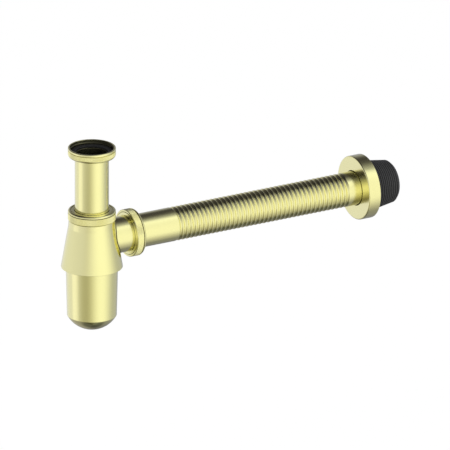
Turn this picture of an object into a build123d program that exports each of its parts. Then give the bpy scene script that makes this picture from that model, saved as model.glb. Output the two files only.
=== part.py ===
import math
import os
from build123d import *

# Bottle trap for a basin, in millimetres, +Z up. The origin is on the inlet's axis at the
# mouth of the inlet nut's thread, and the outlet runs along +X to the wall.

# tubes
tube_r = 16.0
tube_wall = 1.0
tube_play = 0.3
slide_play = 0.1
seal_play = 0.05

# round nuts, their threads drawn at the mean line of the pipe thread that goes with the tube
thread_step = 4.0
thread_play = 0.3
nut_wall = 2.2
nut_edge = 1.0

# inlet nut, and the tube's rim and washer in it
inlet_nut_high = 9.0
mouth_chamfer = 0.6
inlet_floor = 1.6
inlet_thread_long = 3.2
pocket_step = 0.5
rim_width = 3.4
rim_thick = 1.2
washer_step = 0.4
washer_play = 0.4
washer_thick = 2.1
lift = 0.1

# slip joint: a nut, a slip ring and a tapered seal on a threaded end, measured from the nut's closed face
slip_nut_long = 9.3
recess_width = 3.4
recess_deep = 0.9
slip_plate = 1.7
ring_play = 0.5
ring_thick = 1.2
seal_width = 3.2
seal_tip_width = 0.6
seal_long = 4.1
seat_play = 0.12
end_start = 5.2
end_stop = 9.5

# body, hung under the inlet nut's rim
body_nut_drop = 61.8
shoulder_step = 0.3
shoulder_edge = 0.6
shoulder_high = 6.9
outlet_under_cone = 14.1
edge_under_stub = 8.7
body_r = 29.0
body_wall = 2.6
ledge_high = 2.1

# cup and its flat seal
cup_step = 4.6
cup_draft = 1.1
cup_long = 61.7
cup_wall = 1.8
cup_thread_long = 5.8
cup_seal_thick = 2.0
cup_seal_width = 3.0
dome_step = 2.4
dip_clear = 21.8

# outlet
stub_wall = 0.9
stub_long = 17.4
pipe_stop_deep = 19.9
pipe_start_deep = 13.4
pipe_wall = 1.8
plain_long = 39.0
ridge_pitch = 4.6
ridge_count = 40
ridge_deep = 1.0

# wall flange and its grip ring
flange_gap = 12.5
flange_thick = 12.1
flange_r = 30.25
flange_edge = 0.4
flange_plate = 2.0
flange_wall = 2.2
flange_hole = 0.9
hub_wall = 1.8
hub_long = 4.1
grip_width = 2.8
grip_long = 2.9

# rubber wall connector
connector_gap = 1.0
connector_wall = 8.0
connector_taper = 0.1555
connector_long = 28.0
connector_nose = 3.0
lip_long = 5.7
pipe_end_gap = 0.2

# radii that follow the tube
bore_r = tube_r - tube_wall
hole_r = tube_r + tube_play
thread_r = tube_r + thread_step
nut_bore_r = thread_r + thread_play
nut_r = nut_bore_r + nut_wall
ring_r = nut_bore_r - ring_play
seal_r = tube_r + seal_width
seal_tip_r = tube_r + seal_tip_width
stub_r = tube_r + slide_play + stub_wall
pipe_bore_r = tube_r - pipe_wall
grip_r = tube_r + grip_width

# places in a slip joint
ring_start = recess_deep + slip_plate + lift
seal_start = ring_start + ring_thick
seat_slope = (seal_r - seal_tip_r) / seal_long
seat_r = seal_r - seat_slope * (end_start - seal_start) + seat_play

# heights
rim_z = mouth_chamfer
body_face_z = rim_z - body_nut_drop
shoulder_z = body_face_z - end_stop
cone_z = shoulder_z - shoulder_high
outlet_z = cone_z - outlet_under_cone
body_z = outlet_z - stub_r - edge_under_stub
cup_base_z = body_z - cup_long
dip_z = cup_base_z + dip_clear
outlet_axis = Axis((0, 0, outlet_z), (1, 0, 0))
outlet_plane = Plane(origin=(0, 0, outlet_z), x_dir=(0, 0, 1), z_dir=(0, 1, 0))

# places along the outlet
outlet_face_x = body_r + stub_long
stub_end_x = outlet_face_x - end_start
collar_x = outlet_face_x - end_stop
ridge_start_x = outlet_face_x + plain_long
ridge_end_x = ridge_start_x + ridge_count * ridge_pitch
flange_x = ridge_end_x + flange_gap
plate_x = flange_x + flange_plate
hub_x = plate_x + hub_long
grip_x = hub_x - grip_long
flange_back_x = flange_x + flange_thick
connector_x = hub_x + connector_gap
connector_end_x = flange_back_x + connector_long
lip_x = connector_end_x - lip_long



def slip_nut(face, way):
    """Half section of a slip nut as radius and place, from its closed face along the axis."""
    plate = recess_deep + slip_plate
    section = [
        (hole_r, recess_deep),
        (tube_r + recess_width, recess_deep),
        (tube_r + recess_width, 0),
        (nut_r - nut_edge, 0),
        (nut_r, nut_edge),
        (nut_r, slip_nut_long - nut_edge),
        (nut_r - nut_edge, slip_nut_long),
        (nut_bore_r, slip_nut_long),
        (nut_bore_r, plate),
        (hole_r, plate),
    ]
    return [(r, face + way * t) for r, t in section]


def slip_ring(face, way):
    """Half section of the ring that lets a slip nut turn on its seal."""
    section = [
        (hole_r, ring_start),
        (ring_r, ring_start),
        (ring_r, seal_start),
        (hole_r, seal_start),
    ]
    return [(r, face + way * t) for r, t in section]


def slip_seal(face, way):
    """Half section of the tapered seal that a slip nut presses round its tube."""
    section = [
        (tube_r + seal_play, seal_start),
        (seal_r, seal_start),
        (seal_tip_r, seal_start + seal_long),
        (tube_r + seal_play, seal_start + seal_long),
    ]
    return [(r, face + way * t) for r, t in section]


def slip_seat(face, way, throat_r):
    """Half section of the tapered seat in a threaded end, down to the throat's radius."""
    deep = end_start + (seat_r - throat_r) / seat_slope
    section = [(0, end_start - 1), (seat_r, end_start - 1), (seat_r, end_start), (throat_r, deep), (0, deep)]
    return [(r, face + way * t) for r, t in section]


with BuildPart() as inlet_nut:
    base_z = rim_z - inlet_nut_high
    floor_z = base_z + inlet_floor
    with BuildSketch(Plane.XZ):
        with BuildLine():
            Polyline(
                (hole_r, base_z),
                (nut_r - nut_edge, base_z),
                (nut_r, base_z + nut_edge),
                (nut_r, rim_z - nut_edge),
                (nut_r - nut_edge, rim_z),
                (nut_bore_r + mouth_chamfer, rim_z),
                (nut_bore_r, 0),
                (nut_bore_r, -inlet_thread_long),
                (nut_bore_r + pocket_step, -inlet_thread_long),
                (nut_bore_r + pocket_step, floor_z),
                (hole_r, floor_z),
                close=True,
            )
        make_face()
    revolve(axis=Axis.Z)

rim_base_z = floor_z + lift
rim_top_z = rim_base_z + rim_thick

with BuildPart() as inlet_washer:
    with BuildSketch(Plane.XZ):
        with BuildLine():
            Polyline(
                (bore_r + washer_step, rim_top_z),
                (nut_bore_r - washer_play, rim_top_z),
                (nut_bore_r - washer_play, rim_top_z + washer_thick),
                (bore_r + washer_step, rim_top_z + washer_thick),
                close=True,
            )
        make_face()
    revolve(axis=Axis.Z)

with BuildPart() as inlet_tube:
    with BuildSketch(Plane.XZ):
        with BuildLine():
            Polyline(
                (bore_r, dip_z),
                (tube_r, dip_z),
                (tube_r, rim_base_z),
                (tube_r + rim_width, rim_base_z),
                (tube_r + rim_width, rim_top_z),
                (bore_r, rim_top_z),
                close=True,
            )
        make_face()
    revolve(axis=Axis.Z)

with BuildPart() as body_nut:
    with BuildSketch(Plane.XZ):
        with BuildLine():
            Polyline(*slip_nut(body_face_z, -1), close=True)
        make_face()
    revolve(axis=Axis.Z)

with BuildPart() as body_slip_ring:
    with BuildSketch(Plane.XZ):
        with BuildLine():
            Polyline(*slip_ring(body_face_z, -1), close=True)
        make_face()
    revolve(axis=Axis.Z)

with BuildPart() as body_seal:
    with BuildSketch(Plane.XZ):
        with BuildLine():
            Polyline(*slip_seal(body_face_z, -1), close=True)
        make_face()
    revolve(axis=Axis.Z)

shoulder_r = nut_r - shoulder_step
cup_r = body_r - cup_step
ledge_r = cup_r - cup_seal_width
cup_rim_z = body_z + cup_thread_long
ledge_z = cup_rim_z + cup_seal_thick
ledge_top_z = ledge_z + ledge_high
cone_slope = (body_r - shoulder_r) / (cone_z - body_z)
chamber_r = shoulder_r - body_wall
chamber_base_r = body_r - body_wall - cone_slope * (ledge_top_z - body_z)
throat_r = tube_r + tube_play + slide_play
cup_bore_r = cup_r + thread_play
pipe_stop_x = outlet_face_x - pipe_stop_deep

with BuildPart() as trap_body:
    with BuildSketch(Plane.XZ):
        with BuildLine():
            Polyline(
                (0, body_z),
                (body_r, body_z),
                (shoulder_r, cone_z),
                (shoulder_r, shoulder_z - shoulder_edge),
                (shoulder_r - shoulder_edge, shoulder_z),
                (thread_r, shoulder_z),
                (thread_r, body_face_z - end_start),
                (0, body_face_z - end_start),
                close=True,
            )
        make_face()
    revolve(axis=Axis.Z)
    with BuildSketch(outlet_plane):
        with BuildLine():
            Polyline(
                (0, 0),
                (stub_r, 0),
                (stub_r, collar_x),
                (thread_r, collar_x),
                (thread_r, stub_end_x),
                (0, stub_end_x),
                close=True,
            )
        make_face()
    revolve(axis=outlet_axis)
    with BuildSketch(Plane.XZ):
        with BuildLine():
            Polyline(
                (0, body_z),
                (cup_bore_r, body_z),
                (cup_bore_r, ledge_z),
                (ledge_r, ledge_z),
                (ledge_r, ledge_top_z),
                (chamber_base_r, ledge_top_z),
                (chamber_r, cone_z),
                (throat_r, cone_z),
                (throat_r, body_face_z - end_start),
                (0, body_face_z - end_start),
                close=True,
            )
        make_face()
    revolve(axis=Axis.Z, mode=Mode.SUBTRACT)
    with BuildSketch(Plane.XZ):
        with BuildLine():
            Polyline(*slip_seat(body_face_z, -1, throat_r), close=True)
        make_face()
    revolve(axis=Axis.Z, mode=Mode.SUBTRACT)
    with BuildSketch(outlet_plane):
        with BuildLine():
            Polyline(
                (0, 0),
                (bore_r, 0),
                (bore_r, pipe_stop_x),
                (tube_r + slide_play, pipe_stop_x),
                (tube_r + slide_play, stub_end_x),
                (0, stub_end_x),
                close=True,
            )
        make_face()
    revolve(axis=outlet_axis, mode=Mode.SUBTRACT)
    with BuildSketch(outlet_plane):
        with BuildLine():
            Polyline(*slip_seat(outlet_face_x, -1, tube_r + slide_play), close=True)
        make_face()
    revolve(axis=outlet_axis, mode=Mode.SUBTRACT)

with BuildPart() as cup_seal:
    with BuildSketch(Plane.XZ):
        with BuildLine():
            Polyline(
                (ledge_r, cup_rim_z),
                (cup_r, cup_rim_z),
                (cup_r, ledge_z),
                (ledge_r, ledge_z),
                close=True,
            )
        make_face()
    revolve(axis=Axis.Z)

with BuildPart() as cup:
    cup_edge_r = cup_r - cup_draft
    dome_r = cup_edge_r + dome_step
    inner_r = dome_r - cup_wall
    centre_z = cup_base_z + dome_r
    cup_edge_z = centre_z - math.sqrt(dome_r**2 - cup_edge_r**2)
    inner_edge_r = cup_edge_r - cup_wall
    inner_edge_z = centre_z - math.sqrt(inner_r**2 - inner_edge_r**2)
    half = math.asin(cup_edge_r / dome_r) / 2
    inner_half = math.asin(inner_edge_r / inner_r) / 2
    with BuildSketch(Plane.XZ):
        with BuildLine():
            Polyline(
                (0, cup_base_z + cup_wall),
                (0, cup_base_z),
            )
            ThreePointArc(
                (0, cup_base_z),
                (dome_r * math.sin(half), centre_z - dome_r * math.cos(half)),
                (cup_edge_r, cup_edge_z),
            )
            Polyline(
                (cup_edge_r, cup_edge_z),
                (cup_r, body_z),
                (cup_r, cup_rim_z),
                (cup_r - cup_wall, cup_rim_z),
                (inner_edge_r, inner_edge_z),
            )
            ThreePointArc(
                (inner_edge_r, inner_edge_z),
                (inner_r * math.sin(inner_half), centre_z - inner_r * math.cos(inner_half)),
                (0, cup_base_z + cup_wall),
            )
        make_face()
    revolve(axis=Axis.Z)

with BuildPart() as outlet_nut:
    with BuildSketch(outlet_plane):
        with BuildLine():
            Polyline(*slip_nut(outlet_face_x, -1), close=True)
        make_face()
    revolve(axis=outlet_axis)

with BuildPart() as outlet_slip_ring:
    with BuildSketch(outlet_plane):
        with BuildLine():
            Polyline(*slip_ring(outlet_face_x, -1), close=True)
        make_face()
    revolve(axis=outlet_axis)

with BuildPart() as outlet_seal:
    with BuildSketch(outlet_plane):
        with BuildLine():
            Polyline(*slip_seal(outlet_face_x, -1), close=True)
        make_face()
    revolve(axis=outlet_axis)

with BuildPart() as outlet_pipe:
    pipe_start_x = outlet_face_x - pipe_start_deep
    ridges = []
    for i in range(ridge_count):
        crest_x = ridge_start_x + i * ridge_pitch
        ridges.append((tube_r, crest_x))
        ridges.append((tube_r - ridge_deep, crest_x + ridge_pitch / 2))
    ridges.append((tube_r, ridge_end_x))
    with BuildSketch(outlet_plane):
        with BuildLine():
            Polyline(
                (pipe_bore_r, pipe_start_x),
                (tube_r, pipe_start_x),
                *ridges,
                (tube_r, lip_x - pipe_end_gap),
                (pipe_bore_r, lip_x - pipe_end_gap),
                close=True,
            )
        make_face()
    revolve(axis=outlet_axis)

with BuildPart() as wall_flange:
    hub_r = grip_r + hub_wall
    with BuildSketch(outlet_plane):
        with BuildLine():
            Polyline(
                (tube_r + flange_hole, flange_x),
                (flange_r - flange_edge, flange_x),
                (flange_r, flange_x + flange_edge),
                (flange_r, flange_back_x),
                (flange_r - flange_wall, flange_back_x),
                (flange_r - flange_wall, plate_x),
                (hub_r, plate_x),
                (hub_r, hub_x),
                (grip_r, hub_x),
                (grip_r, grip_x),
                (tube_r + flange_hole, grip_x),
                close=True,
            )
        make_face()
    revolve(axis=outlet_axis)

with BuildPart() as flange_ring:
    with BuildSketch(outlet_plane):
        with BuildLine():
            Polyline(
                (tube_r + slide_play, grip_x),
                (grip_r - seal_play, grip_x),
                (grip_r - seal_play, hub_x),
                (tube_r + slide_play, hub_x),
                close=True,
            )
        make_face()
    revolve(axis=outlet_axis)

with BuildPart() as wall_connector:
    connector_r = tube_r + connector_wall
    back_r = connector_r + connector_taper * (flange_back_x - connector_x)
    nose_x = connector_end_x - connector_nose
    nose_r = connector_r - connector_taper * (nose_x - flange_back_x)
    with BuildSketch(outlet_plane):
        with BuildLine():
            Polyline(
                (tube_r + seal_play, connector_x),
                (back_r, connector_x),
                (nose_r, nose_x),
                (nose_r - connector_nose, connector_end_x),
                (bore_r, connector_end_x),
                (bore_r, lip_x),
                (tube_r + seal_play, lip_x),
                close=True,
            )
        make_face()
    revolve(axis=outlet_axis)

inlet_nut.part.label = "inlet_nut"
inlet_washer.part.label = "inlet_washer"
inlet_tube.part.label = "inlet_tube"
body_nut.part.label = "body_nut"
body_slip_ring.part.label = "body_slip_ring"
body_seal.part.label = "body_seal"
trap_body.part.label = "trap_body"
cup_seal.part.label = "cup_seal"
cup.part.label = "cup"
outlet_nut.part.label = "outlet_nut"
outlet_slip_ring.part.label = "outlet_slip_ring"
outlet_seal.part.label = "outlet_seal"
outlet_pipe.part.label = "outlet_pipe"
wall_flange.part.label = "wall_flange"
flange_ring.part.label = "flange_ring"
wall_connector.part.label = "wall_connector"

os.makedirs("parts", exist_ok=True)
export_step(inlet_nut.part, "parts/inlet_nut.step")
export_step(inlet_washer.part, "parts/inlet_washer.step")
export_step(inlet_tube.part, "parts/inlet_tube.step")
export_step(body_nut.part, "parts/body_nut.step")
export_step(body_slip_ring.part, "parts/body_slip_ring.step")
export_step(body_seal.part, "parts/body_seal.step")
export_step(trap_body.part, "parts/trap_body.step")
export_step(cup_seal.part, "parts/cup_seal.step")
export_step(cup.part, "parts/cup.step")
export_step(outlet_nut.part, "parts/outlet_nut.step")
export_step(outlet_slip_ring.part, "parts/outlet_slip_ring.step")
export_step(outlet_seal.part, "parts/outlet_seal.step")
export_step(outlet_pipe.part, "parts/outlet_pipe.step")
export_step(wall_flange.part, "parts/wall_flange.step")
export_step(flange_ring.part, "parts/flange_ring.step")
export_step(wall_connector.part, "parts/wall_connector.step")
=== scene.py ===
import math

import bmesh
import bpy
from bpy.props import FloatProperty, FloatVectorProperty, IntProperty, PointerProperty
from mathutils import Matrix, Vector


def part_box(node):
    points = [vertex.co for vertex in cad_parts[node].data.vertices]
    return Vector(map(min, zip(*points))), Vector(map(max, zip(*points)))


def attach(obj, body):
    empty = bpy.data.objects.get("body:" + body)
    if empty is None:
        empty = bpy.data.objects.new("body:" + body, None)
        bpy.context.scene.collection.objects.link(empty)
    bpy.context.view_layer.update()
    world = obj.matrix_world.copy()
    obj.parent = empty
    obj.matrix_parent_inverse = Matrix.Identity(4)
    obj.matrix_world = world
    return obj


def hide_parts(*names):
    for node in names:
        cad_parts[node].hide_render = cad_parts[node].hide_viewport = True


bl_info = {
    "name": "Bottle trap dresser",
    "version": (1, 0, 0),
    "blender": (4, 5, 0),
    "location": "3D View > Sidebar > Bottle trap",
    "description": "Dresses the bottle trap's frame in turned, threaded and corrugated metal and rubber",
    "category": "Object",
}

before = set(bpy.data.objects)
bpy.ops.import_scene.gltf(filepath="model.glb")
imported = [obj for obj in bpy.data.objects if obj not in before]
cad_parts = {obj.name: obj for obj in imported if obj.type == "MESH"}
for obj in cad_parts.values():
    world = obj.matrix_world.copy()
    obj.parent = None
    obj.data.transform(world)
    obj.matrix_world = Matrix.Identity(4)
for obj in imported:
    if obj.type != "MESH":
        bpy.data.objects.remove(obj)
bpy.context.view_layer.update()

MM = 0.001
UP = Vector((0, 0, 1))
ALONG = Vector((1, 0, 0))

# places and radii read from the frame
tube_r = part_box("outlet_pipe")[1].y
nut_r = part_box("inlet_nut")[1].y
inlet_base_z, rim_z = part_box("inlet_nut")[0].z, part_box("inlet_nut")[1].z
washer_base_z, washer_top_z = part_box("inlet_washer")[0].z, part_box("inlet_washer")[1].z
washer_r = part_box("inlet_washer")[1].y
dip_z, rim_top_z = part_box("inlet_tube")[0].z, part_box("inlet_tube")[1].z
flare_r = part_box("inlet_tube")[1].y
body_base_z, body_face_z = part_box("body_nut")[0].z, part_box("body_nut")[1].z
edge_z, neck_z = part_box("trap_body")[0].z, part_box("trap_body")[1].z
body_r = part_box("trap_body")[1].y
stub_end_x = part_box("trap_body")[1].x
ledge_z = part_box("cup_seal")[1].z
cup_base_z, cup_rim_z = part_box("cup")[0].z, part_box("cup")[1].z
cup_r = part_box("cup")[1].y
outlet_base_x, outlet_face_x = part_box("outlet_nut")[0].x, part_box("outlet_nut")[1].x
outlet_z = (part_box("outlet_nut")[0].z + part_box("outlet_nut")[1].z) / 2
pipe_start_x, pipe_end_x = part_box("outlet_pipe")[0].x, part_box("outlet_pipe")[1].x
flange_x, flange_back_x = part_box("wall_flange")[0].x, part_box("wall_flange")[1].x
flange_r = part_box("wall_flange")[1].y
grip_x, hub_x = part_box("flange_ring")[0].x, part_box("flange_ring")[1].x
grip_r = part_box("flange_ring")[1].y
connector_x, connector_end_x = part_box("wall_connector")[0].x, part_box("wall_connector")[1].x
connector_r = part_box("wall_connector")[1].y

# walls and steps inside the pieces
tube_bore_r = tube_r - 1.0 * MM
hole_r = tube_r + 0.3 * MM
nut_bore_r = nut_r - 2.2 * MM
pipe_bore_r = tube_r - 1.8 * MM
slide_r = tube_r + 0.1 * MM
shoulder_r = nut_r - 0.3 * MM
shoulder_draft = 0.5 * MM
shoulder_z = body_base_z - 0.2 * MM
cone_z = shoulder_z - 6.9 * MM
collar_x = outlet_base_x - 0.2 * MM
stub_r = tube_r + 1.0 * MM
dome_rise = 3.2 * MM
cup_draft = 1.1 * MM
cup_wall = 1.8 * MM
ridge_start_x = outlet_face_x + 39.0 * MM
ridge_pitch = 4.6 * MM
ridge_count = 40
connector_taper = 0.1555

# the groove between a nut's lip and its knurled band
groove_side = 0.25 * MM
groove_floor = 0.4 * MM
groove_wide = 2 * groove_side + groove_floor

# slack for finding points by their place or radius
near = 0.05 * MM


class TrapSizes(bpy.types.PropertyGroup):
    """Sizes of the details that the turned pieces carry."""

    turn_steps: IntProperty(
        name="Turn steps", description="Faces round each turned piece", default=128, min=32, max=256
    )
    lip_round: FloatProperty(
        name="Nut lip",
        description="Rounding of the lip at one end of each nut",
        default=1.7 * MM,
        unit="LENGTH",
    )
    lip_high: FloatProperty(
        name="Lip height", description="Height of that lip", default=1.9 * MM, unit="LENGTH"
    )
    knurl_teeth: IntProperty(
        name="Knurl teeth",
        description="Teeth of the fine straight knurl round a nut",
        default=200,
        min=60,
        max=300,
    )
    knurl_deep: FloatProperty(
        name="Knurl depth", description="Depth of the knurl's grooves", default=0.16 * MM, unit="LENGTH"
    )
    groove_deep: FloatProperty(
        name="Lip groove",
        description="Depth of the groove beside a nut's lip",
        default=0.8 * MM,
        unit="LENGTH",
    )
    edge_round: FloatProperty(
        name="Fine edge",
        description="Rounding of small machined edges",
        default=0.3 * MM,
        unit="LENGTH",
    )
    thread_pitch: FloatProperty(
        name="Thread pitch", description="Lead of the pipe threads", default=2.309 * MM, unit="LENGTH"
    )
    thread_deep: FloatProperty(
        name="Thread depth", description="Height of a thread's ridge", default=0.65 * MM, unit="LENGTH"
    )
    ridge_deep: FloatProperty(
        name="Ridge depth",
        description="Depth of the pipe's corrugation",
        default=1.2 * MM,
        unit="LENGTH",
    )
    ridge_points: IntProperty(
        name="Ridge points",
        description="Outline points on one ridge of the pipe",
        default=10,
        min=4,
        max=24,
    )
    ring_pitch: FloatProperty(
        name="Ring pitch",
        description="Distance of the rings on the rubber connector",
        default=2.2 * MM,
        unit="LENGTH",
    )
    ring_deep: FloatProperty(
        name="Ring depth",
        description="Depth of the grooves between those rings",
        default=0.55 * MM,
        unit="LENGTH",
    )
    bead_r: FloatProperty(
        name="Bead radius",
        description="Radius of the brazed bead round the stub",
        default=0.55 * MM,
        unit="LENGTH",
    )


class TrapFinish(bpy.types.PropertyGroup):
    """Colours and roughness of the finishes."""

    gold: FloatVectorProperty(
        name="Gold",
        description="Colour of the pale gold",
        default=(0.965, 0.925, 0.465),
        size=3,
        subtype="COLOR",
    )
    gold_deep: FloatVectorProperty(
        name="Deep gold",
        description="Colour of the brushing's darker lines",
        default=(0.94, 0.895, 0.42),
        size=3,
        subtype="COLOR",
    )
    # painted shade: the darker gold that the grooves and steps of the nuts get where shade falls
    gold_in_painted_shade: FloatVectorProperty(
        name="Gold in hollows",
        description="Colour of the gold in grooves that the brush doesn't reach",
        default=(0.3, 0.285, 0.17),
        size=3,
        subtype="COLOR",
    )
    gold_rough: FloatProperty(
        name="Gold roughness",
        description="Mean roughness of the brushed metal",
        default=0.2,
        subtype="FACTOR",
    )
    # painted shade: the dark brass that the insides of the inlet's bores and the stub's bead get where
    # shade falls; the second colour mottles it in random patches
    painted_shade_brass: FloatVectorProperty(
        name="Bare brass",
        description="Colour of the unplated insides",
        default=(0.2, 0.195, 0.115),
        size=3,
        subtype="COLOR",
    )
    painted_shade_brass_dull: FloatVectorProperty(
        name="Dull brass",
        description="Colour of the tarnish on the unplated insides",
        default=(0.1, 0.096, 0.06),
        size=3,
        subtype="COLOR",
    )
    rubber: FloatVectorProperty(
        name="Rubber",
        description="Colour of the black rubber",
        default=(0.009, 0.009, 0.01),
        size=3,
        subtype="COLOR",
    )
    # colour of random dust on the rubber, and of the painted highlight on the connector's ring crests
    rubber_dust_and_highlight: FloatVectorProperty(
        name="Dusted rubber",
        description="Colour of the rubber's dry bloom",
        default=(0.06, 0.06, 0.062),
        size=3,
        subtype="COLOR",
    )
    nylon: FloatVectorProperty(
        name="Nylon",
        description="Colour of the slip rings",
        default=(0.68, 0.66, 0.6),
        size=3,
        subtype="COLOR",
    )
    nylon_shade: FloatVectorProperty(
        name="Nylon shade",
        description="Colour of the slip rings' mottling",
        default=(0.58, 0.55, 0.48),
        size=3,
        subtype="COLOR",
    )


class TrapStage(bpy.types.PropertyGroup):
    """The camera's place and the tones of the studio."""

    view_side: FloatProperty(
        name="View azimuth",
        description="Camera's angle round the object",
        default=math.radians(-30),
        subtype="ANGLE",
    )
    view_rise: FloatProperty(
        name="View elevation",
        description="Camera's angle over the horizon",
        default=math.radians(20.2),
        subtype="ANGLE",
    )
    view_wide: FloatProperty(
        name="View width", description="Width of the camera's view", default=0.4198, unit="LENGTH"
    )
    view_right: FloatProperty(
        name="View right",
        description="Middle of the view, right of the inlet's rim",
        default=0.1242,
        unit="LENGTH",
    )
    view_down: FloatProperty(
        name="View down",
        description="Middle of the view, under the inlet's rim",
        default=0.0726,
        unit="LENGTH",
    )
    floor_z: FloatProperty(
        name="Floor height", description="Height of the studio floor", default=-0.36, unit="LENGTH"
    )
    ambient: FloatProperty(
        name="Ambient",
        description="Strength of the soft light from all round",
        default=0.7,
        min=0,
        max=2,
    )


class Link:
    """A shader socket for use in Python expressions, which add their own Math nodes."""

    def __init__(self, graph, socket):
        self.graph = graph
        self.socket = socket

    def math(self, operation, a, b):
        return self.graph.node("ShaderNodeMath", {"operation": operation}, {0: a, 1: b})

    def __add__(self, other):
        return self.math("ADD", self, other)

    __radd__ = __add__

    def __mul__(self, other):
        return self.math("MULTIPLY", self, other)

    __rmul__ = __mul__


class Graph:
    """The node tree of a material or of the world."""

    def __init__(self, tree):
        self.tree = tree
        tree.nodes.clear()

    def feed(self, socket, value):
        if isinstance(value, Link):
            self.tree.links.new(value.socket, socket)
        else:
            socket.default_value = value

    def node(self, kind, settings=None, inputs=None, output=0):
        made = self.tree.nodes.new(kind)
        for name, value in (settings or {}).items():
            setattr(made, name, value)
        for key, value in (inputs or {}).items():
            self.feed(made.inputs[key], value)
        if not made.outputs:
            return made
        return Link(self, made.outputs[output])

    def blend(self, share, first, second):
        """A colour between two, by the share of the second."""
        first, second = (c if isinstance(c, Link) else (*c, 1) for c in (first, second))
        inputs = {"Factor": share, 6: first, 7: second}
        return self.node("ShaderNodeMix", {"data_type": "RGBA"}, inputs, output=2)

    def noise(self, stretch, detail, rough):
        """A grain on the piece's own coordinates, stretched by a size for each axis."""
        place = self.node("ShaderNodeTexCoord", output=3)
        laid = self.node("ShaderNodeMapping", {}, {"Vector": place, "Scale": stretch})
        return self.node(
            "ShaderNodeTexNoise", {}, {"Vector": laid, "Scale": 1.0, "Detail": detail, "Roughness": rough}
        )

    def bump(self, height, strength, deep):
        return self.node("ShaderNodeBump", {}, {"Height": height, "Strength": strength, "Distance": deep})

    def surface(self, sockets):
        shader = self.node("ShaderNodeBsdfPrincipled", {}, sockets)
        self.node("ShaderNodeOutputMaterial", {}, {"Surface": shader})


def finish(name):
    """A new material and its empty graph."""
    material = bpy.data.materials.new(name)
    material.use_nodes = True
    return material, Graph(material.node_tree)


def brushed_gold(name, axis):
    """Pale gold brushed round the axis that the piece was turned on, darker in the marked grooves and steps
    as painted shade.
    """
    tones = bpy.context.scene.trap_finish
    material, graph = finish(name)
    across, around = 3200.0, 45.0
    lines = graph.noise([across if part else around for part in axis], 3.0, 0.6)
    patches = graph.noise((38.0, 38.0, 38.0), 2.0, 0.5)
    brushed = graph.blend(lines * 0.45 + patches * 0.35, tones.gold, tones.gold_deep)
    # painted shade: grooves and steps marked on the mesh blend towards the darker gold
    painted_shade = graph.node("ShaderNodeAttribute", {"attribute_name": "painted_shade"}, output=2)
    graph.surface(
        {
            "Base Color": graph.blend(painted_shade, brushed, tones.gold_in_painted_shade),
            "Metallic": 1.0,
            "Coat Weight": 0.65,
            "Coat Roughness": tones.gold_rough * 0.8,
            "Roughness": tones.gold_rough - 0.07 + lines * 0.1 + patches * 0.04,
            "Normal": graph.bump(lines, 0.08, 0.02 * MM),
        }
    )
    return material


def painted_shade_brass(name):
    """Dark brass, painted shade for the insides and the stub's bead, mottled in soft random patches."""
    tones = bpy.context.scene.trap_finish
    material, graph = finish(name)
    tarnish = graph.noise((420.0, 420.0, 420.0), 3.0, 0.6)
    graph.surface(
        {
            "Base Color": graph.blend(tarnish, tones.painted_shade_brass, tones.painted_shade_brass_dull),
            "Metallic": 1.0,
            "Roughness": 0.36 + tarnish * 0.2,
            "Normal": graph.bump(tarnish, 0.1, 0.03 * MM),
        }
    )
    return material


def black_rubber(name):
    """Moulded rubber with a dry bloom, a fine grain and, on the connector's ring crests, a painted
    highlight.
    """
    tones = bpy.context.scene.trap_finish
    material, graph = finish(name)
    grain = graph.noise((2600.0, 2600.0, 2600.0), 3.0, 0.6)
    bloom = graph.noise((120.0, 120.0, 120.0), 3.0, 0.55)
    # painted highlight on the marked ring crests, mixed with random dust and grain
    crest_highlight = graph.node("ShaderNodeAttribute", {"attribute_name": "crest_highlight"}, output=2)
    dust_and_crest_highlight = bloom * 0.2 + grain * 0.1 + crest_highlight * 0.7
    graph.surface(
        {
            "Base Color": graph.blend(dust_and_crest_highlight, tones.rubber, tones.rubber_dust_and_highlight),
            "Roughness": 0.42 + bloom * 0.2 + grain * 0.1,
            "Normal": graph.bump(grain, 0.2, 0.05 * MM),
            "Specular IOR Level": 0.4,
        }
    )
    return material


def natural_nylon(name):
    """Off-white nylon with a soft mottling."""
    tones = bpy.context.scene.trap_finish
    material, graph = finish(name)
    grain = graph.noise((900.0, 900.0, 900.0), 2.0, 0.5)
    graph.surface(
        {
            "Base Color": graph.blend(grain, tones.nylon, tones.nylon_shade),
            "Roughness": 0.38 + grain * 0.15,
            "Normal": graph.bump(grain, 0.1, 0.03 * MM),
        }
    )
    return material


def material(name):
    """The finish of that name, made on its first use."""
    made = bpy.data.materials.get(name)
    if made:
        return made
    if name == "gold turned upright":
        return brushed_gold(name, UP)
    if name == "gold turned along":
        return brushed_gold(name, ALONG)
    if name == "painted shade brass":
        return painted_shade_brass(name)
    if name == "black rubber":
        return black_rubber(name)
    return natural_nylon(name)


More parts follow.
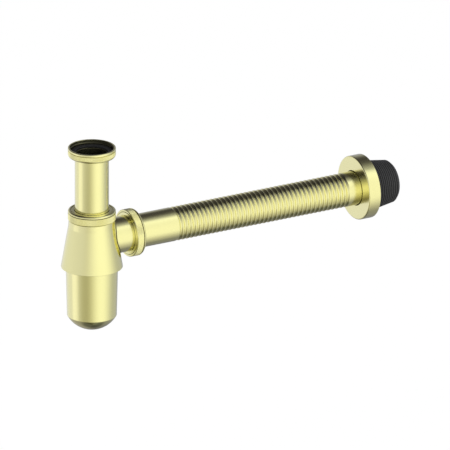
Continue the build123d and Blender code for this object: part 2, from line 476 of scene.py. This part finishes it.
class Lathe:
    """A turning axis, on which an outline's points are given as radius and place."""

    def __init__(self, axis, centre):
        self.axis = axis
        self.centre = centre
        self.out = UP if axis == ALONG else ALONG

    def point(self, r, place):
        return self.centre + self.out * r + self.axis * place

    def outline(self, bm, points, closed):
        """Draws the outline, each point of which may have a rounding as a third number."""
        verts = [bm.verts.new(self.point(*p[:2])) for p in points]
        ends = verts[1:] + verts[:1] if closed else verts[1:]
        for a, b in zip(verts, ends):
            bm.edges.new((a, b))
        for vert, p in zip(verts, points):
            if len(p) == 3:
                bmesh.ops.bevel(
                    bm, geom=[vert], offset=p[2], affect="VERTICES", segments=4, profile=0.5, material=-1
                )

    def turned(self, points, closed=True, steps=0):
        """The solid that the outline makes in a full turn. An open outline starts and ends on the axis."""
        bm = bmesh.new()
        self.outline(bm, points, closed)
        bmesh.ops.spin(
            bm,
            geom=bm.verts[:] + bm.edges[:],
            cent=self.centre,
            axis=self.axis,
            angle=math.tau,
            steps=steps or bpy.context.scene.trap_sizes.turn_steps,
            use_merge=True,
        )
        bmesh.ops.remove_doubles(bm, verts=bm.verts, dist=1e-7)
        bmesh.ops.recalc_face_normals(bm, faces=bm.faces)
        return bm

    def knurled(self, points, start, end):
        """A turned solid with fine straight grooves round its band between two places."""
        sizes = bpy.context.scene.trap_sizes
        steps = sizes.knurl_teeth * 3
        bm = self.turned(points, steps=steps)
        side = self.axis.cross(self.out)
        for vert in bm.verts:
            away = vert.co - self.centre
            place = away.dot(self.axis)
            flat = away - self.axis * place
            turn = math.atan2(flat.dot(side), flat.dot(self.out))
            groove = round(turn / math.tau * steps) % 3 == 0
            if groove and start - near < place < end + near and flat.length > nut_r - 0.2 * MM:
                vert.co -= flat.normalized() * sizes.knurl_deep
        return bm

    def radius(self, co):
        """Distance of a point from the axis."""
        away = co - self.centre
        return (away - self.axis * away.dot(self.axis)).length

    def painted_shade(self, bm, inner_r, outer_r, start, end, share=1.0):
        """Marks the points between two radii and two places for painted shade, a darker gold in grooves and
        steps where shade falls.
        """
        layers = bm.verts.layers.float
        layer = layers.get("painted_shade") or layers.new("painted_shade")
        for vert in bm.verts:
            place = (vert.co - self.centre).dot(self.axis)
            if start < place < end and inner_r < self.radius(vert.co) < outer_r:
                vert[layer] = share

    def thread(self, bm, root_r, crest_r, start, end):
        """Winds a thread's ridge on a cylinder, or in a bore where its crest is the smaller radius."""
        sizes = bpy.context.scene.trap_sizes
        pitch = sizes.thread_pitch
        sunk = root_r + (root_r - crest_r) * 0.1
        ridge = bmesh.new()
        places = ((sunk, 0.1), (crest_r, 0.42), (crest_r, 0.58), (sunk, 0.9))
        verts = [ridge.verts.new(self.point(r, start + pitch * share)) for r, share in places]
        ridge.faces.new(verts)
        turns = (end - start) / pitch - 1
        steps = round(sizes.turn_steps * turns)
        bmesh.ops.spin(
            ridge,
            geom=ridge.faces[:],
            cent=self.centre,
            axis=self.axis,
            dvec=self.axis * (pitch * turns / steps),
            angle=math.tau * turns,
            steps=steps,
        )
        bmesh.ops.recalc_face_normals(ridge, faces=ridge.faces)
        added = bpy.data.meshes.new("thread")
        ridge.to_mesh(added)
        ridge.free()
        bm.from_mesh(added)
        bpy.data.meshes.remove(added)


upright = Lathe(UP, Vector((0, 0, 0)))
outlet = Lathe(ALONG, Vector((0, 0, outlet_z)))


def piece(name, bm, finish_name, slot, body, *nodes):
    """Makes a shown piece of a mesh, and gives it its finish, its body and the nodes it stands for."""
    mesh = bpy.data.meshes.new(name)
    bm.to_mesh(mesh)
    bm.free()
    mesh.shade_smooth()
    mesh.set_sharp_from_angle(angle=math.radians(32))
    mesh.materials.append(material(finish_name))
    made = bpy.data.objects.new(name, mesh)
    bpy.context.scene.collection.objects.link(made)
    weighted = made.modifiers.new("even shading", "WEIGHTED_NORMAL")
    weighted.keep_sharp = True
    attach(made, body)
    if nodes:
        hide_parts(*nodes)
    return made


def paint_shade_inside(made, lathe, radius):
    """Gives the faces nearer to the axis than that radius the dark brass of painted shade."""
    made.data.materials.append(material("painted shade brass"))
    for face in made.data.polygons:
        if lathe.radius(face.center) < radius:
            face.material_index = 1


def redress(node, finish_name):
    """Gives a node of the frame, whose shape is right, its finish."""
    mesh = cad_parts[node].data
    mesh.materials.clear()
    mesh.materials.append(material(finish_name))


def cut(base, other, operation):
    """The first mesh joined with the second, or less it."""
    objects = []
    for name, bm in (("base", base), ("other", other)):
        mesh = bpy.data.meshes.new(name)
        bm.to_mesh(mesh)
        bm.free()
        made = bpy.data.objects.new(name, mesh)
        bpy.context.scene.collection.objects.link(made)
        objects.append(made)
    step = objects[0].modifiers.new("cut", "BOOLEAN")
    step.object = objects[1]
    step.operation = operation
    step.solver = "EXACT"
    graph = bpy.context.evaluated_depsgraph_get()
    result = bmesh.new()
    result.from_mesh(objects[0].evaluated_get(graph).to_mesh())
    for made in objects:
        mesh = made.data
        bpy.data.objects.remove(made)
        bpy.data.meshes.remove(mesh)
    return result


def slip_nut(lathe, face, finish_name, node):
    """A round knurled nut with its lipped closed face at that place and its mouth towards the trap."""
    sizes = bpy.context.scene.trap_sizes
    fine = sizes.edge_round
    long = body_face_z - body_base_z
    recess_r, recess, plate = tube_r + 4.2 * MM, 1.0 * MM, 2.6 * MM
    band_r, groove_r = nut_r - 0.05 * MM, nut_r - sizes.groove_deep
    lip = sizes.lip_high
    band, band_end = lip + groove_wide, long - 0.5 * MM
    foot_deep, land_deep = 0.8 * MM, 0.3 * MM
    section = (
        (hole_r, foot_deep),
        (hole_r + 0.5 * MM, land_deep, fine * 0.5),
        (recess_r - 0.8 * MM, land_deep, fine * 0.5),
        (recess_r - 0.6 * MM, recess),
        (recess_r, recess),
        (recess_r, 0, fine * 0.5),
        (nut_r, 0, sizes.lip_round),
        (nut_r, lip),
        (groove_r, lip + groove_side),
        (groove_r, lip + groove_side + groove_floor),
        (band_r, band),
        (band_r, band_end),
        (nut_r - 0.5 * MM, long),
        (nut_bore_r, long, fine),
        (nut_bore_r, plate),
        (hole_r, plate),
    )
    points = [(p[0], face - p[1], *p[2:]) for p in section]
    bm = lathe.knurled(points, face - band_end, face - band)
    # painted shade in the lip groove, at the tube's foot and at the recess step
    lathe.painted_shade(bm, groove_r - near, groove_r + near, face - band, face - lip)
    lathe.painted_shade(bm, hole_r - near, hole_r + near, face - foot_deep - near, face - foot_deep + near)
    lathe.painted_shade(bm, recess_r - 0.7 * MM, recess_r + near, face - recess - near, face - recess + near)
    piece(node + "_turned", bm, finish_name, "brushed_gold", node, node)


class TRAP_OT_inlet(bpy.types.Operator):
    """Turns the inlet nut, its washer and the dip tube"""

    bl_idname = "trap.inlet"
    bl_label = "Inlet"

    def execute(self, context):
        sizes = context.scene.trap_sizes
        fine = sizes.edge_round
        floor_z = inlet_base_z + 1.6 * MM
        thread_base_z = -3.2 * MM
        root_r = nut_bore_r + 0.55 * MM
        lip_z = rim_z - sizes.lip_high
        band_r, groove_r = nut_r - 0.05 * MM, nut_r - sizes.groove_deep
        band_z, band_base_z = lip_z - groove_wide, inlet_base_z + 2.4 * MM
        nut = upright.knurled(
            (
                (hole_r, inlet_base_z, fine),
                (nut_r - 0.2 * MM, inlet_base_z, 2.2 * MM),
                (nut_r - 0.2 * MM, band_base_z - 0.1 * MM),
                (band_r, band_base_z),
                (band_r, band_z),
                (groove_r, lip_z - groove_side - groove_floor),
                (groove_r, lip_z - groove_side),
                (nut_r, lip_z),
                (nut_r, rim_z, sizes.lip_round * 0.5),
                (root_r, rim_z, fine),
                (root_r, floor_z),
                (hole_r, floor_z),
            ),
            band_base_z,
            band_z,
        )
        crest_r = nut_bore_r - 0.1 * MM
        upright.thread(nut, root_r, crest_r, thread_base_z - 1.2 * MM, rim_z - 0.3 * MM)
        # painted shade in the inlet nut's lip groove, at a third of full strength
        upright.painted_shade(nut, groove_r - near, groove_r + near, band_z, lip_z, 0.3)
        finish_name = "gold turned upright"
        nut = piece("inlet_nut_turned", nut, finish_name, "brushed_gold", "inlet_nut", "inlet_nut")
        # painted shade: the nut's thread and bore take the dark brass
        paint_shade_inside(nut, upright, root_r + 0.05 * MM)
        washer_bore_r = tube_bore_r + 0.1 * MM
        washer = upright.turned(
            (
                (washer_bore_r, washer_base_z, fine),
                (washer_r, washer_base_z, fine),
                (washer_r, washer_top_z, fine * 2),
                (washer_bore_r, washer_top_z, fine * 2),
            )
        )
        piece("inlet_washer_moulded", washer, "black rubber", "black_rubber", "inlet", "inlet_washer")
        flare_z = rim_top_z - 1.2 * MM
        tube = upright.turned(
            (
                (tube_bore_r, dip_z, fine),
                (tube_r, dip_z, fine),
                (tube_r, flare_z),
                (flare_r, flare_z, fine),
                (flare_r, rim_top_z, fine),
                (tube_bore_r, rim_top_z, fine * 2),
            )
        )
        tube = piece("inlet_tube_drawn", tube, finish_name, "brushed_gold", "inlet", "inlet_tube")
        # painted shade: the tube's bore takes the dark brass
        paint_shade_inside(tube, upright, tube_bore_r + 0.5 * MM)
        return {"FINISHED"}


class TRAP_OT_slip_joints(bpy.types.Operator):
    """Turns the two slip nuts and finishes the rings and seals in them"""

    bl_idname = "trap.slip_joints"
    bl_label = "Slip joints"

    def execute(self, context):
        slip_nut(upright, body_face_z, "gold turned upright", "body_nut")
        slip_nut(outlet, outlet_face_x, "gold turned along", "outlet_nut")
        for node in ("body_slip_ring", "outlet_slip_ring"):
            redress(node, "natural nylon")
        for node in ("body_seal", "outlet_seal"):
            redress(node, "black rubber")
        return {"FINISHED"}


class TRAP_OT_body(bpy.types.Operator):
    """Turns the conical body, joins its outlet stub and bores both"""

    bl_idname = "trap.body"
    bl_label = "Body"

    def execute(self, context):
        sizes = context.scene.trap_sizes
        fine = sizes.edge_round
        thread_r = nut_bore_r - 0.3 * MM
        root_r = thread_r - sizes.thread_deep + 0.2 * MM
        crest_r = thread_r + 0.15 * MM
        body_wall = 2.6 * MM
        seat_r = tube_r + 2.5 * MM
        throat_r = tube_r + 0.4 * MM
        seat_deep = 3.3 * MM
        past = 1.0 * MM
        cup_bore_r = cup_r + 0.3 * MM
        ledge_r, ledge_top_z = cup_r - 3.0 * MM, ledge_z + 2.1 * MM
        slope = (body_r - shoulder_r) / (cone_z - edge_z)
        chamber_base_r = body_r - body_wall - slope * (ledge_top_z - edge_z)
        pipe_stop_x = outlet_face_x - 19.9 * MM
        root_groove_r, root_groove_x = stub_r + 0.4 * MM, collar_x + 1.2 * MM
        shell = upright.turned(
            (
                (0, edge_z),
                (body_r, edge_z, fine),
                (shoulder_r, cone_z, fine * 2),
                (shoulder_r - shoulder_draft, shoulder_z, fine * 2),
                (root_r, shoulder_z),
                (root_r, neck_z, fine),
                (0, neck_z),
            ),
            closed=False,
        )
        stub = outlet.turned(
            (
                (0, stub_r * 0.3),
                (stub_r, stub_r * 0.3),
                (stub_r, root_groove_x),
                (root_groove_r, root_groove_x),
                (root_groove_r, collar_x, fine * 0.3),
                (thread_r, collar_x, fine * 0.5),
                (thread_r, collar_x + 2.0 * MM),
                (root_r, collar_x + 2.8 * MM),
                (root_r, stub_end_x, fine),
                (0, stub_end_x),
            ),
            closed=False,
        )
        chamber = upright.turned(
            (
                (0, edge_z - past),
                (cup_bore_r, edge_z - past),
                (cup_bore_r, ledge_z),
                (ledge_r, ledge_z),
                (ledge_r, ledge_top_z),
                (chamber_base_r, ledge_top_z),
                (shoulder_r - body_wall, cone_z),
                (throat_r, cone_z),
                (throat_r, neck_z - seat_deep),
                (seat_r, neck_z),
                (seat_r, neck_z + past),
                (0, neck_z + past),
            ),
            closed=False,
        )
        bore = outlet.turned(
            (
                (0, 0),
                (tube_bore_r, 0),
                (tube_bore_r, pipe_stop_x),
                (slide_r, pipe_stop_x),
                (slide_r, stub_end_x - seat_deep),
                (seat_r, stub_end_x),
                (seat_r, stub_end_x + past),
                (0, stub_end_x + past),
            ),
            closed=False,
        )
        bm = cut(cut(cut(shell, stub, "UNION"), chamber, "DIFFERENCE"), bore, "DIFFERENCE")
        upright.thread(bm, root_r, crest_r, shoulder_z - 1.2 * MM, neck_z)
        outlet.thread(bm, root_r, crest_r, collar_x + 0.6 * MM, stub_end_x + 0.2 * MM)
        piece("trap_body_turned", bm, "gold turned upright", "brushed_gold", "trap", "trap_body")
        bead = self.bead(sizes.bead_r, slope)
        # painted shade: the bead takes the dark brass, a dark line where the stub meets the cone
        piece("stub_bead", bead, "painted shade brass", "brushed_gold", "trap")
        return {"FINISHED"}

    def bead(self, radius, slope):
        """The brazed bead, a thin round line where the stub leaves the body."""
        curve = bpy.data.curves.new("stub bead", "CURVE")
        curve.dimensions = "3D"
        curve.bevel_depth = radius
        curve.bevel_resolution = 2
        line = curve.splines.new("POLY")
        count = bpy.context.scene.trap_sizes.turn_steps
        line.points.add(count - 1)
        line.use_cyclic_u = True
        for i, point in enumerate(line.points):
            turn = math.tau * i / count
            y, z = stub_r * math.sin(turn), outlet_z + stub_r * math.cos(turn)
            r = shoulder_r + slope * max(0, cone_z - z)
            r -= shoulder_draft * max(0, z - cone_z) / (shoulder_z - cone_z)
            point.co = (math.sqrt(r * r - y * y), y, z, 1)
        holder = bpy.data.objects.new("stub bead", curve)
        mesh = bpy.data.meshes.new_from_object(holder)
        bm = bmesh.new()
        bm.from_mesh(mesh)
        bmesh.ops.recalc_face_normals(bm, faces=bm.faces)
        bpy.data.meshes.remove(mesh)
        bpy.data.objects.remove(holder)
        bpy.data.curves.remove(curve)
        return bm


class TRAP_OT_cup(bpy.types.Operator):
    """Turns the screw-off cup with its domed base, and finishes its seal"""

    bl_idname = "trap.cup"
    bl_label = "Cup"

    def execute(self, context):
        sizes = context.scene.trap_sizes
        fine = sizes.edge_round
        cup_edge_r = cup_r - cup_draft
        dome_r = cup_edge_r + dome_rise
        root_r = cup_r - sizes.thread_deep + 0.1 * MM
        outer = self.dome(dome_r, cup_edge_r)
        inner = self.dome(dome_r - cup_wall, cup_edge_r - cup_wall)
        outer[-1] = (*outer[-1], fine)
        bm = upright.turned(
            (
                *outer,
                (cup_r, edge_z - fine),
                (cup_r, edge_z),
                (root_r, edge_z + sizes.thread_deep),
                (root_r, cup_rim_z, fine),
                (cup_r - cup_wall, cup_rim_z, fine),
                *reversed(inner),
            ),
            closed=False,
        )
        upright.thread(bm, root_r, cup_r + 0.12 * MM, edge_z - 0.4 * MM, cup_rim_z - 0.1 * MM)
        piece("cup_turned", bm, "gold turned upright", "brushed_gold", "cup", "cup")
        redress("cup_seal", "black rubber")
        return {"FINISHED"}

    def dome(self, dome_r, edge_r, count=20):
        """Half of a dome's outline, from the axis to its edge."""
        centre_z = cup_base_z + cup_r - cup_draft + dome_rise
        half = math.asin(edge_r / dome_r)
        turns = [half * i / count for i in range(count + 1)]
        return [(dome_r * math.sin(t), centre_z - dome_r * math.cos(t)) for t in turns]


class TRAP_OT_pipe(bpy.types.Operator):
    """Turns the outlet pipe with its rounded corrugations"""

    bl_idname = "trap.pipe"
    bl_label = "Outlet pipe"

    def execute(self, context):
        sizes = context.scene.trap_sizes
        fine = sizes.edge_round
        points = [(pipe_bore_r, pipe_start_x, fine), (tube_r, pipe_start_x, fine)]
        for i in range(ridge_count * sizes.ridge_points + 1):
            turn = i / sizes.ridge_points
            fall = (1 - math.cos(math.tau * turn)) / 2
            points.append((tube_r - sizes.ridge_deep * fall, ridge_start_x + ridge_pitch * turn))
        points += [(tube_r, pipe_end_x, fine), (pipe_bore_r, pipe_end_x, fine)]
        bm = outlet.turned(points)
        piece("outlet_pipe_drawn", bm, "gold turned along", "brushed_gold", "pipe", "outlet_pipe")
        return {"FINISHED"}


class TRAP_OT_wall_fittings(bpy.types.Operator):
    """Turns the wall flange, its grip ring and the ringed rubber connector"""

    bl_idname = "trap.wall_fittings"
    bl_label = "Wall fittings"

    def execute(self, context):
        sizes = context.scene.trap_sizes
        fine = sizes.edge_round
        plate_x = flange_x + 2.0 * MM
        rim_bore_r = flange_r - 2.2 * MM
        flange_hole_r = tube_r + 0.75 * MM
        seat_r = grip_r + 0.05 * MM
        hub_r = seat_r + 1.8 * MM
        flange = outlet.turned(
            (
                (flange_hole_r, flange_x, fine),
                (flange_r, flange_x, 1.2 * MM),
                (flange_r, flange_back_x, fine),
                (rim_bore_r, flange_back_x, fine),
                (rim_bore_r, plate_x),
                (hub_r, plate_x),
                (hub_r, hub_x, fine),
                (seat_r, hub_x),
                (seat_r, grip_x),
                (flange_hole_r, grip_x),
            )
        )
        piece("wall_flange_turned", flange, "gold turned along", "brushed_gold", "flange", "wall_flange")
        ring = outlet.turned(
            (
                (slide_r, grip_x, fine),
                (grip_r, grip_x, fine),
                (grip_r, hub_x, fine),
                (slide_r, hub_x, fine),
            )
        )
        piece("flange_ring_moulded", ring, "black rubber", "black_rubber", "flange", "flange_ring")
        connector = outlet.turned(self.connector(sizes))
        # painted highlight: the connector's ring crests are marked for the lighter rubber colour
        crest_highlight = connector.verts.layers.float.new("crest_highlight")
        for vert in connector.verts:
            vert[crest_highlight] = outlet.radius(vert.co) > self.full_r(vert.co.x) - 0.3 * MM
        piece("wall_connector_moulded", connector, "black rubber", "black_rubber", "pipe", "wall_connector")
        return {"FINISHED"}

    def full_r(self, x):
        """Radius of the tapered connector over its rings."""
        return connector_r - connector_taper * (x - connector_x)

    def connector(self, sizes):
        """Outline of the tapered connector, with its rings from the back to the nose."""
        fine = sizes.edge_round
        nose = 3.0 * MM
        bore_r = tube_r + 0.05 * MM
        lip_x = connector_end_x - 5.7 * MM
        nose_x = connector_end_x - nose
        points = [(bore_r, connector_x, fine), (connector_r, connector_x, fine)]
        count = int((nose_x - connector_x - 1.0 * MM) / sizes.ring_pitch)
        for i in range(count):
            start = nose_x - (count - i) * sizes.ring_pitch
            for share, deep in ((0.0, 0.0), (0.15, 1.0), (0.45, 1.0), (0.6, 0.0), (0.8, 0.0)):
                x = start + sizes.ring_pitch * share
                points.append((self.full_r(x) - sizes.ring_deep * deep, x))
        nose_r = self.full_r(nose_x)
        points += [
            (nose_r, nose_x, 0.8 * MM),
            (nose_r - nose, connector_end_x, 0.8 * MM),
            (tube_bore_r, connector_end_x, fine),
            (tube_bore_r, lip_x),
            (bore_r, lip_x),
        ]
        return points


# the studio, in metres, and the tone of its light tent
camera_away = 2.0
floor_half = 4.0
lamp_away = 1.3
tent_r = 3.0
tent_tone = (1.07, 1.07, 0.98)

# flags on the light tent: their sides from the camera's and their heights, each as two ends and how softly
# either fades, in degrees, and the share of light that they leave
FLAGS = (
    # left wall
    ((-171, -45, 66, 75), (-90, 90, 1, 1), (0.55, 0.54, 0.60)),
    # left window
    ((-167, -49, 53, 33), (-24, -19, 12, 42), (1.37, 1.40, 1.48)),
    # bright strip in it
    ((-93, -73, 8, 15), (-31, -16, 13, 9), (1.29, 1.27, 1.22)),
    # low grey flag
    ((-40, -35, 44, 76), (-97, -22, 52, 12), (0.59, 0.57, 0.42)),
    # right wall
    ((115, 172, 70, 39), (-90, 90, 1, 1), (0.47, 0.48, 0.56)),
    # dark ceiling over the back and the left
    ((163, 292, 86, 25), (38, 95, 30, 1), (0.17, 0.16, 0.17)),
    # dimmer ceiling in front
    ((-138, 36, 58, 32), (74, 95, 67, 1), (0.12, 0.13, 0.22)),
    # right window
    ((82, 93, 22, 10), (24, 55, 21, 12), (1.42, 1.44, 1.47)),
    # dark mat
    ((-180, 180, 1, 1), (-91, -59, 1, 40), (0.56, 0.55, 0.56)),
    # its middle
    ((-180, 180, 1, 1), (-91, -72, 1, 13), (0.34, 0.36, 0.35)),
)


class TRAP_OT_stage(bpy.types.Operator):
    """Sets the camera, the pale floor, the soft light and the light tent round the trap"""

    bl_idname = "trap.stage"
    bl_label = "Stage"

    def execute(self, context):
        stage = context.scene.trap_stage
        side, rise = stage.view_side, stage.view_rise
        self.right = Vector((math.cos(side), math.sin(side), 0))
        self.front = Vector((math.sin(side), -math.cos(side), 0))
        self.camera(context, stage, rise)
        self.world(context, stage)
        self.floor(stage)
        self.lamp(context)
        self.tent()
        context.scene.view_settings.view_transform = "Standard"
        return {"FINISHED"}

    def camera(self, context, stage, rise):
        back = self.front * math.cos(rise) + UP * math.sin(rise)
        up = UP * math.cos(rise) - self.front * math.sin(rise)
        middle = Vector((0, 0, rim_z)) + self.right * stage.view_right - up * stage.view_down
        data = bpy.data.cameras.new("camera")
        data.type = "ORTHO"
        data.ortho_scale = stage.view_wide
        made = bpy.data.objects.new("camera", data)
        made.location = middle + back * camera_away
        made.rotation_mode = "QUATERNION"
        made.rotation_quaternion = (-back).to_track_quat("-Z", "Y")
        context.scene.collection.objects.link(made)
        context.scene.camera = made

    def seen(self, graph):
        """One for the rays by which the camera, metal and glass see the background."""
        outputs = graph.node("ShaderNodeLightPath").socket.node.outputs
        camera, metal, glass = (
            Link(graph, outputs[f"Is {kind} Ray"]) for kind in ("Camera", "Glossy", "Transmission")
        )
        rays = camera + metal + glass
        return rays.math("MINIMUM", rays, 1.0)

    def world(self, context, stage):
        made = bpy.data.worlds.new("white studio")
        made.use_nodes = True
        graph = Graph(made.node_tree)
        ambient = graph.node("ShaderNodeBackground", {}, {"Color": (1, 1, 1, 1), "Strength": stage.ambient})
        white = graph.node("ShaderNodeBackground", {}, {"Color": (1, 1, 1, 1), "Strength": 1.0})
        mixed = graph.node("ShaderNodeMixShader", {}, {0: self.seen(graph), 1: ambient, 2: white})
        graph.node("ShaderNodeOutputWorld", {}, {"Surface": mixed})
        context.scene.world = made

    def floor(self, stage):
        bm = bmesh.new()
        bmesh.ops.create_grid(bm, x_segments=1, y_segments=1, size=floor_half)
        bmesh.ops.translate(bm, verts=bm.verts, vec=UP * stage.floor_z)
        paint, graph = finish("pale floor")
        matt = graph.node("ShaderNodeBsdfDiffuse", {}, {"Color": (0.9, 0.9, 0.9, 1)})
        white = graph.node("ShaderNodeEmission", {}, {"Color": (1, 1, 1, 1), "Strength": 1.02})
        mixed = graph.node("ShaderNodeMixShader", {}, {0: self.seen(graph) * 0.94, 1: matt, 2: white})
        graph.node("ShaderNodeOutputMaterial", {}, {"Surface": mixed})
        floor = self.flat("floor", bm, paint)
        floor.visible_glossy = False

    def lamp(self, context):
        data = bpy.data.lights.new("soft box", "AREA")
        data.shape = "DISK"
        data.size = 1.4
        data.energy = 9.0
        made = bpy.data.objects.new("soft box", data)
        away = self.front * 0.6 - self.right * 0.5 + UP
        made.location = away * lamp_away
        made.rotation_mode = "QUATERNION"
        made.rotation_quaternion = (-away).to_track_quat("-Z", "Y")
        made.visible_glossy = False
        context.scene.collection.objects.link(made)

    def flat(self, name, bm, paint):
        mesh = bpy.data.meshes.new(name)
        bm.to_mesh(mesh)
        bm.free()
        mesh.materials.append(paint)
        made = bpy.data.objects.new(name, mesh)
        bpy.context.scene.collection.objects.link(made)
        return made

    def tent(self):
        """A white light tent with dark flags on it, which only the metal's reflections see."""
        middle = Vector((0.15, 0, -0.09))
        bm = bmesh.new()
        bmesh.ops.create_uvsphere(bm, u_segments=144, v_segments=72, radius=tent_r)
        bmesh.ops.translate(bm, verts=bm.verts, vec=middle)
        paint, graph = finish("light tent")
        tone = graph.node("ShaderNodeAttribute", {"attribute_name": "tone"})
        light = graph.node("ShaderNodeEmission", {}, {"Color": tone, "Strength": 1.0})
        graph.node("ShaderNodeOutputMaterial", {}, {"Surface": light})
        made = self.flat("light_tent", bm, paint)
        layer = made.data.color_attributes.new("tone", "FLOAT_COLOR", "POINT")
        for vert, shade in zip(made.data.vertices, layer.data):
            away = (vert.co - middle).normalized()
            side = math.degrees(math.atan2(away.dot(self.right), away.dot(self.front)))
            shade.color = (*self.tone(side, math.degrees(math.asin(away.z))), 1)
        made.visible_camera = False
        made.visible_diffuse = False
        made.visible_shadow = False
        made.visible_transmission = False
        made.visible_volume_scatter = False

    def tone(self, side, rise):
        """The tent's tone at an angle from the camera's side and a height over the horizon."""
        tone = tent_tone
        for (start, end, start_soft, end_soft), (low, high, low_soft, high_soft), colour in FLAGS:
            middle = (start + end) / 2
            place = (side - middle + 180) % 360 - 180 + middle
            share = self.ramp((place - start) / start_soft + 1) * self.ramp((end - place) / end_soft + 1)
            share *= self.ramp((rise - low) / low_soft + 1) * self.ramp((high - rise) / high_soft + 1)
            tone = [t * (1 - share + share * c) for t, c in zip(tone, colour)]
        return tone

    def ramp(self, share):
        share = min(1, max(0, share))
        return share * share * (3 - 2 * share)


class TRAP_PT_panel(bpy.types.Panel):
    """The steps that dress the trap"""

    bl_idname = "TRAP_PT_panel"
    bl_label = "Bottle trap"
    bl_space_type = "VIEW_3D"
    bl_region_type = "UI"
    bl_category = "Bottle trap"

    def draw(self, context):
        for step in OPERATORS:
            self.layout.operator(step.bl_idname)
        for group in (context.scene.trap_sizes, context.scene.trap_finish, context.scene.trap_stage):
            box = self.layout.box()
            for name in group.__annotations__:
                box.prop(group, name)


GROUPS = (TrapSizes, TrapFinish, TrapStage)
OPERATORS = (
    TRAP_OT_inlet,
    TRAP_OT_slip_joints,
    TRAP_OT_body,
    TRAP_OT_cup,
    TRAP_OT_pipe,
    TRAP_OT_wall_fittings,
    TRAP_OT_stage,
)


def register():
    for made in (*GROUPS, *OPERATORS, TRAP_PT_panel):
        bpy.utils.register_class(made)
    bpy.types.Scene.trap_sizes = PointerProperty(type=TrapSizes)
    bpy.types.Scene.trap_finish = PointerProperty(type=TrapFinish)
    bpy.types.Scene.trap_stage = PointerProperty(type=TrapStage)


def unregister():
    del bpy.types.Scene.trap_stage
    del bpy.types.Scene.trap_finish
    del bpy.types.Scene.trap_sizes
    for made in reversed((*GROUPS, *OPERATORS, TRAP_PT_panel)):
        bpy.utils.unregister_class(made)


def main():
    register()
    bpy.ops.trap.inlet()
    bpy.ops.trap.slip_joints()
    bpy.ops.trap.body()
    bpy.ops.trap.cup()
    bpy.ops.trap.pipe()
    bpy.ops.trap.wall_fittings()
    bpy.ops.trap.stage()


if __name__ == "__main__":
    main()
